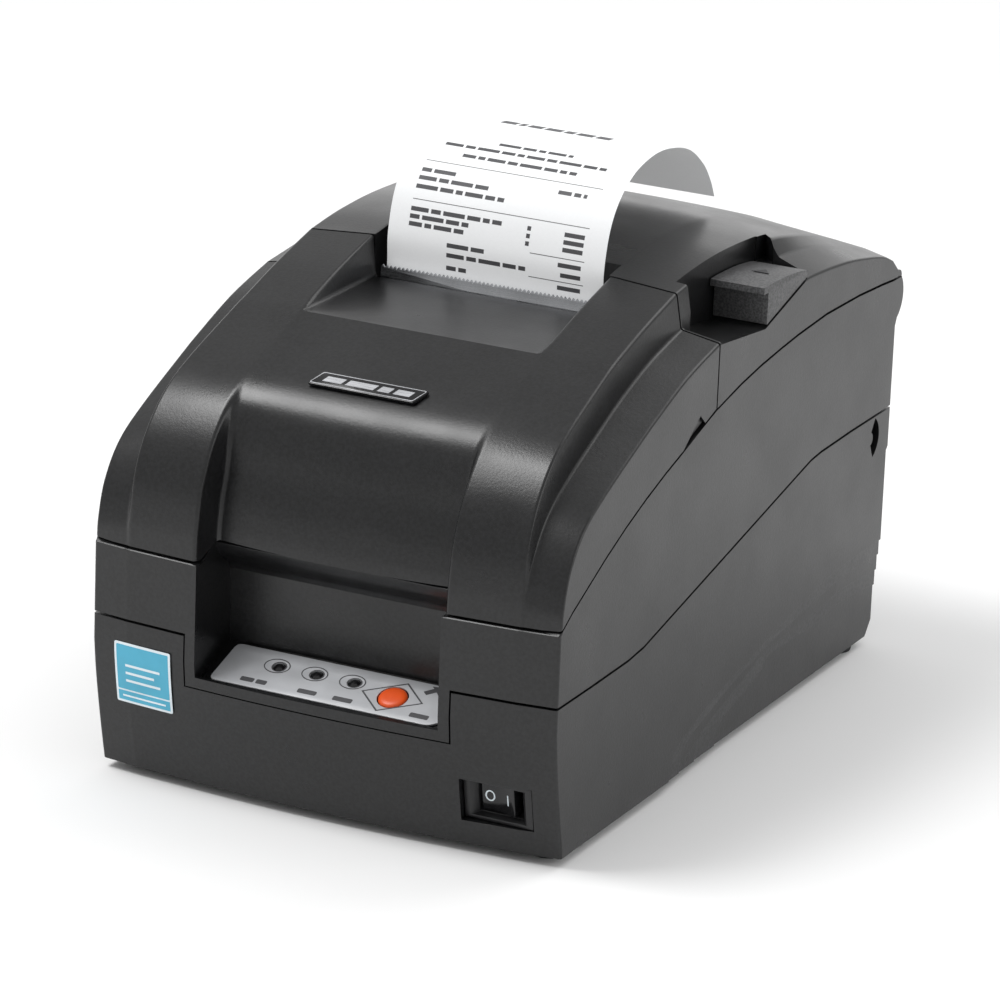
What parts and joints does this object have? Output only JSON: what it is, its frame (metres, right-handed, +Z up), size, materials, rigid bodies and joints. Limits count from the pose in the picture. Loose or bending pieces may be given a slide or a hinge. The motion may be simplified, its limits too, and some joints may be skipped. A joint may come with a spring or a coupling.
{
  "type": "receipt printer",
  "caption": "Desktop impact receipt printer in a dark case with opening front and rear covers, a cover lever, a recessed operator panel, paper feed, roll compartment and moving print carriage.",
  "frame": {"origin": "on the table, under the middle of the printer's overall box", "axes": "+Z up; the operator's side faces -Y; +X to the right of a person who looks at the front"},
  "size_m": [0.16, 0.256, 0.1864],
  "materials": {
    "charcoal_abs": "grained, satin",
    "label_silver": "printed film",
    "smoked_lens": "smoked",
    "button_orange": "satin",
    "circuit_board": "solder mask",
    "black_plastic": "satin",
    "gloss_black": "gloss",
    "badge_silver": "brushed",
    "label_blue": "printed film",
    "rubber": "moulded",
    "zinc_steel": "zinc plated",
    "bright_steel": "bright",
    "ground_steel": "ground",
    "cast_alloy": "die cast",
    "aluminium": "extruded",
    "brass": "turned",
    "nylon": "moulded",
    "inked_ribbon": "woven, inked",
    "knob_blue": "satin",
    "paper": "uncoated",
    "cardboard": "wound",
    "grey_plastic": "satin",
    "can_blue": "sleeved"
  },
  "bodies": {
    "base": {"lower_case": "charcoal_abs", "middle_case": "charcoal_abs", "panel_label": "label_silver", "lamp_light_guide": "smoked_lens", "panel_board": "circuit_board", "feed_key_switch": "black_plastic", "switch_housing": "black_plastic", "front_label": "label_blue", "foot_front_left": "rubber", "foot_front_right": "rubber", "foot_rear_left": "rubber", "foot_rear_right": "rubber", "mech_chassis": "zinc_steel", "chassis_screw_left": "bright_steel", "chassis_screw_right": "bright_steel", "tear_bar": "bright_steel", "carriage_shaft": "ground_steel", "carriage_rail": "zinc_steel", "drive_belt": "rubber", "carriage_motor": "zinc_steel", "feed_motor": "zinc_steel", "ribbon_cartridge": "black_plastic", "ribbon_strip": "inked_ribbon", "paper_web": "paper", "paper_guide": "zinc_steel", "roll_bucket": "charcoal_abs", "hinge_pin_left": "bright_steel", "hinge_pin_right": "bright_steel", "main_board": "circuit_board", "smoothing_capacitor": "can_blue", "heat_sink": "aluminium", "processor_chip": "gloss_black", "rear_panel": "zinc_steel", "interface_port": "bright_steel", "drawer_port": "black_plastic", "power_inlet": "black_plastic"},
    "front_cover": {"front_cover": "charcoal_abs", "nameplate": "badge_silver"},
    "rear_cover": {"rear_cover": "charcoal_abs", "platen": "bright_steel", "platen_bracket": "bright_steel", "receipt_strip": "paper"},
    "cover_lever": {"cover_lever": "charcoal_abs"},
    "latch": {"latch_shaft": "zinc_steel"},
    "feed_roller": {"feed_roller": "rubber", "feed_roller_gear": "nylon"},
    "small_idler": {"feed_idler_small": "nylon"},
    "large_idler": {"feed_idler_large": "nylon"},
    "pinion": {"feed_pinion": "nylon"},
    "pinch_roller": {"pinch_roller": "rubber"},
    "paper_roll": {"paper_roll": "paper", "roll_core": "cardboard"},
    "carriage": {"head_carriage": "black_plastic", "print_head": "cast_alloy"},
    "drive_pulley": {"drive_pulley": "brass"},
    "idler_pulley": {"idler_pulley": "brass"},
    "ribbon_knob": {"ribbon_knob": "knob_blue"},
    "feed_button": {"feed_button": "button_orange"},
    "power_rocker": {"power_rocker": "gloss_black"},
    "near_end_lever": {"near_end_lever": "grey_plastic"}
  },
  "joints": [
    {"name": "front_cover_hinge", "type": "hinge", "parent": "base", "child": "front_cover", "pos_m": [0, -0.1272, 0.0764], "axis": [1, 0, 0], "range_deg": [0, 75]},
    {"name": "rear_cover_hinge", "type": "hinge", "parent": "base", "child": "rear_cover", "pos_m": [0, 0.1242, 0.1272], "axis": [-1, 0, 0], "range_deg": [0, 90]},
    {"name": "cover_lever_hinge", "type": "hinge", "parent": "rear_cover", "child": "cover_lever", "pos_m": [0.0704, 0.047, 0.147], "axis": [-1, 0, 0], "range_deg": [0, 20], "stiffness_Nm_per_rad": 0.15},
    {"name": "latch_turn", "type": "hinge", "parent": "rear_cover", "child": "latch", "pos_m": [0, 0.006, 0.1305], "axis": [1, 0, 0], "range_deg": [0, 12]},
    {"name": "feed_roller_spin", "type": "hinge", "parent": "base", "child": "feed_roller", "pos_m": [0, -0.0216, 0.131], "axis": [1, 0, 0], "continuous": true},
    {"name": "small_idler_spin", "type": "hinge", "parent": "base", "child": "small_idler", "pos_m": [-0.066, -0.02914, 0.11599], "axis": [1, 0, 0], "continuous": true},
    {"name": "large_idler_spin", "type": "hinge", "parent": "base", "child": "large_idler", "pos_m": [-0.066, -0.03, 0.088], "axis": [1, 0, 0], "continuous": true},
    {"name": "pinion_spin", "type": "hinge", "parent": "base", "child": "pinion", "pos_m": [-0.066, -0.03, 0.068], "axis": [1, 0, 0], "continuous": true},
    {"name": "pinch_roller_spin", "type": "hinge", "parent": "rear_cover", "child": "pinch_roller", "pos_m": [0, -0.0111, 0.131], "axis": [1, 0, 0], "continuous": true},
    {"name": "paper_roll_spin", "type": "hinge", "parent": "base", "child": "paper_roll", "pos_m": [0, 0.062, 0.095], "axis": [1, 0, 0], "continuous": true},
    {"name": "carriage_slide", "type": "slide", "parent": "base", "child": "carriage", "axis": [1, 0, 0], "range_m": [-0.03, 0.03]},
    {"name": "drive_pulley_spin", "type": "hinge", "parent": "base", "child": "drive_pulley", "pos_m": [0.044, -0.07, 0.087], "axis": [0, 0, 1], "range_deg": [-260, 260]},
    {"name": "idler_pulley_spin", "type": "hinge", "parent": "base", "child": "idler_pulley", "pos_m": [-0.044, -0.07, 0.087], "axis": [0, 0, 1], "range_deg": [-260, 260]},
    {"name": "ribbon_knob_spin", "type": "hinge", "parent": "base", "child": "ribbon_knob", "pos_m": [-0.04, -0.08, 0.1266], "axis": [0, 0, 1], "continuous": true},
    {"name": "feed_button_press", "type": "slide", "parent": "base", "child": "feed_button", "axis": [0, 0.3629, -0.9318], "range_m": [0, 0.0012], "stiffness_N_per_m": 300},
    {"name": "power_rocker_tilt", "type": "hinge", "parent": "base", "child": "power_rocker", "pos_m": [0.0598, -0.11215, 0.02006], "axis": [0, -0.1908, 0.9816], "range_deg": [0, 16]},
    {"name": "near_end_lever_swing", "type": "hinge", "parent": "base", "child": "near_end_lever", "pos_m": [0.044, 0.084, 0.062], "axis": [1, 0, 0], "range_deg": [-4, 8]}
  ],
  "couplings": [
    {"joint": "latch_turn", "follows": "cover_lever_hinge", "ratio": 0.6},
    {"joint": "feed_roller_spin", "follows": "paper_roll_spin", "ratio": -6.9091},
    {"joint": "small_idler_spin", "follows": "paper_roll_spin", "ratio": 2.7636},
    {"joint": "large_idler_spin", "follows": "paper_roll_spin", "ratio": -2.0727},
    {"joint": "pinion_spin", "follows": "paper_roll_spin", "ratio": 8.2909},
    {"joint": "pinch_roller_spin", "follows": "paper_roll_spin", "ratio": 9.5},
    {"joint": "drive_pulley_spin", "follows": "carriage_slide", "rad_per_m": -149.25},
    {"joint": "idler_pulley_spin", "follows": "carriage_slide", "rad_per_m": -149.25}
  ]
}
